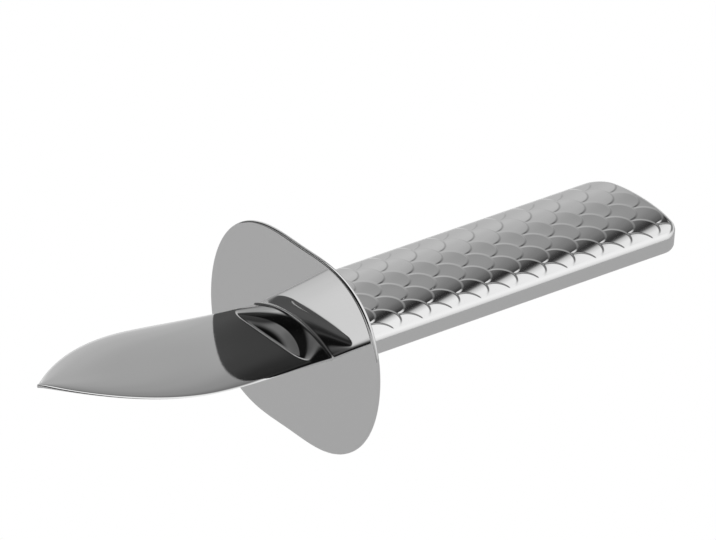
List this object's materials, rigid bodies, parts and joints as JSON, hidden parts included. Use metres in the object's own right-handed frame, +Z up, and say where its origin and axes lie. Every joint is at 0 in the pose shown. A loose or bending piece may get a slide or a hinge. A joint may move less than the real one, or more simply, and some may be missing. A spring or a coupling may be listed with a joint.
{
  "type": "oyster knife",
  "caption": "Hand knife for opening oysters: a short pointed leaf blade, an oval hand guard and a flat handle with a fish-scale relief on its faces.",
  "frame": {"origin": "the point on the handle's long axis in the plane of the guard's front face, where the blade leaves the guard", "axes": "+X along the handle towards its butt (the blade points to -X), +Y across the blade, +Z up, square to the handle's scaled faces and the way the blade sweeps"},
  "size_m": [0.1667, 0.057, 0.045],
  "materials": {
    "blade_steel": "mirror polish",
    "guard_steel": "mirror polish",
    "handle_steel": "mirror polish over pressed scales",
    "cement": "cast resin cement, hidden"
  },
  "bodies": {
    "root": {"blade": "blade_steel", "guard": "guard_steel", "front_plate": "handle_steel", "handle_top_shell": "handle_steel", "handle_bottom_shell": "handle_steel", "handle_filler": "cement"}
  },
  "joints": []
}
